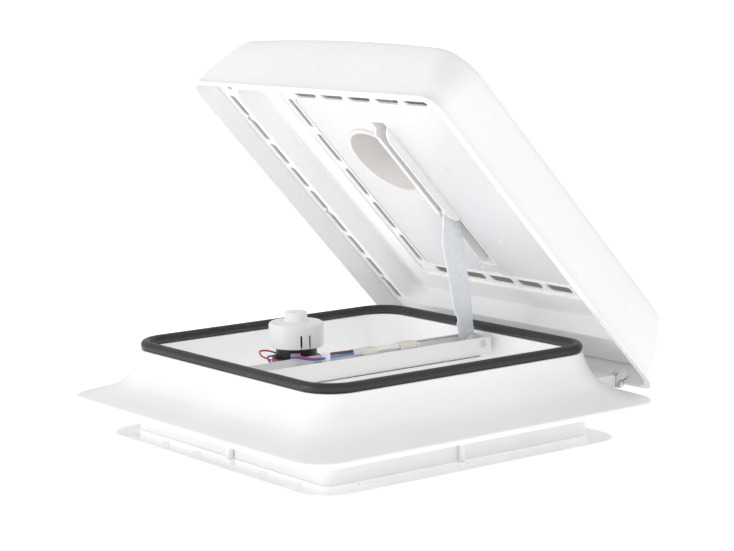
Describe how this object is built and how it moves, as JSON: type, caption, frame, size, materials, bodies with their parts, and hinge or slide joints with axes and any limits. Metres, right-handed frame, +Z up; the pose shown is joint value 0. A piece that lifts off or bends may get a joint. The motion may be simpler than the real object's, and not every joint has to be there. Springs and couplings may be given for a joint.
{
  "type": "roof vent cover",
  "caption": "Square roof vent with a domed cover on a rear hinge, raised by a motor-driven strip arm from a crossbeam, with a rubber-sealed roof frame and a ceiling trim frame.",
  "frame": {"origin": "centre of the square roof opening, in the plane where the flange lies on the roof", "axes": "+Z up out of the roof, +Y towards the hinge, +X along the hinge axis"},
  "size_m": [0.522, 0.579, 0.4968],
  "materials": {
    "white_shell": "smooth satin gloss",
    "white_frame": "smooth satin gloss",
    "white_liner": "fine moulded texture",
    "clear_pane": "smooth, slightly see-through",
    "beam_white": "satin",
    "rubber": "soft sheen",
    "galvanised_steel": "galvanised",
    "bright_steel": "bright",
    "brass_gear": "machined",
    "acetal": "natural acetal",
    "black_plastic": "moulded",
    "button_grey": "moulded",
    "diffuser": "frosted",
    "board_green": "solder mask",
    "lead_red": "cable insulation",
    "lead_blue": "cable insulation",
    "lead_brown": "cable insulation",
    "sleeve_white": "heat-shrink",
    "connector_cream": "moulded nylon"
  },
  "bodies": {
    "frame": {"roof_frame": "white_frame", "frame_seal": "rubber", "hinge_bracket_left": "white_frame", "hinge_bracket_right": "white_frame", "hinge_pin_left": "bright_steel", "hinge_pin_right": "bright_steel", "bracket_screws": "bright_steel", "trim_frame": "white_frame", "trim_screws": "bright_steel", "crossbeam_tray": "beam_white", "crossbeam_cover": "beam_white", "light_diffuser": "diffuser", "light_board": "board_green", "control_board": "board_green", "motor_body": "black_plastic", "motor_cap": "beam_white", "motor_gearcase": "black_plastic", "limit_switch": "black_plastic", "motor_lead_red": "lead_red", "motor_lead_blue": "lead_blue", "supply_lead_blue": "lead_blue", "supply_lead_brown": "lead_brown", "lead_sleeve": "sleeve_white", "connector_front": "connector_cream", "connector_rear": "connector_cream", "lead_conduit": "beam_white", "lead_clips": "beam_white", "shaft_bushes": "acetal", "arm_shaft_bushes": "acetal"},
    "dome": {"dome_shell": "white_shell", "dome_liner": "white_liner", "dome_pane": "clear_pane", "arm_rail": "white_liner", "motor_pocket": "white_liner", "hinge_lugs_left": "white_frame", "hinge_lugs_right": "white_frame", "dome_screws": "bright_steel"},
    "arm": {"lifting_arm": "galvanised_steel", "arm_shaft": "bright_steel", "arm_worm_wheel": "acetal", "arm_pin": "bright_steel"},
    "roller": {"arm_roller": "acetal"},
    "drive": {"drive_shaft": "bright_steel", "drive_worm": "brass_gear"},
    "open_button": {"button_open": "button_grey"},
    "close_button": {"button_close": "button_grey"},
    "light_button": {"button_light": "button_grey"}
  },
  "joints": [
    {"name": "dome_hinge", "type": "hinge", "parent": "frame", "child": "dome", "pos_m": [0, 0.2503, 0.0185], "axis": [-1, 0, 0], "range_deg": [-47, 0]},
    {"name": "arm_pivot", "type": "hinge", "parent": "frame", "child": "arm", "pos_m": [0, 0.172, 0.055], "axis": [-1, 0, 0], "range_deg": [-72, 0]},
    {"name": "roller_spin", "type": "hinge", "parent": "arm", "child": "roller", "pos_m": [0, 0.14456, 0.22277], "axis": [1, 0, 0], "continuous": true},
    {"name": "drive_spin", "type": "hinge", "parent": "frame", "child": "drive", "pos_m": [0.011, 0, 0.0415], "axis": [0, 1, 0], "range_deg": [-10, 1138]},
    {"name": "open_button_press", "type": "slide", "parent": "frame", "child": "open_button", "axis": [0, 0, 1], "range_m": [0, 0.001], "stiffness_N_per_m": 900, "springref_m": -0.0006},
    {"name": "close_button_press", "type": "slide", "parent": "frame", "child": "close_button", "axis": [0, 0, 1], "range_m": [0, 0.001], "stiffness_N_per_m": 900, "springref_m": -0.0006},
    {"name": "light_button_press", "type": "slide", "parent": "frame", "child": "light_button", "axis": [0, 0, 1], "range_m": [0, 0.001], "stiffness_N_per_m": 900, "springref_m": -0.0006}
  ],
  "couplings": [
    {"joint": "arm_pivot", "follows": "dome_hinge", "ratio": 1.53},
    {"joint": "drive_spin", "follows": "dome_hinge", "ratio": -24}
  ]
}
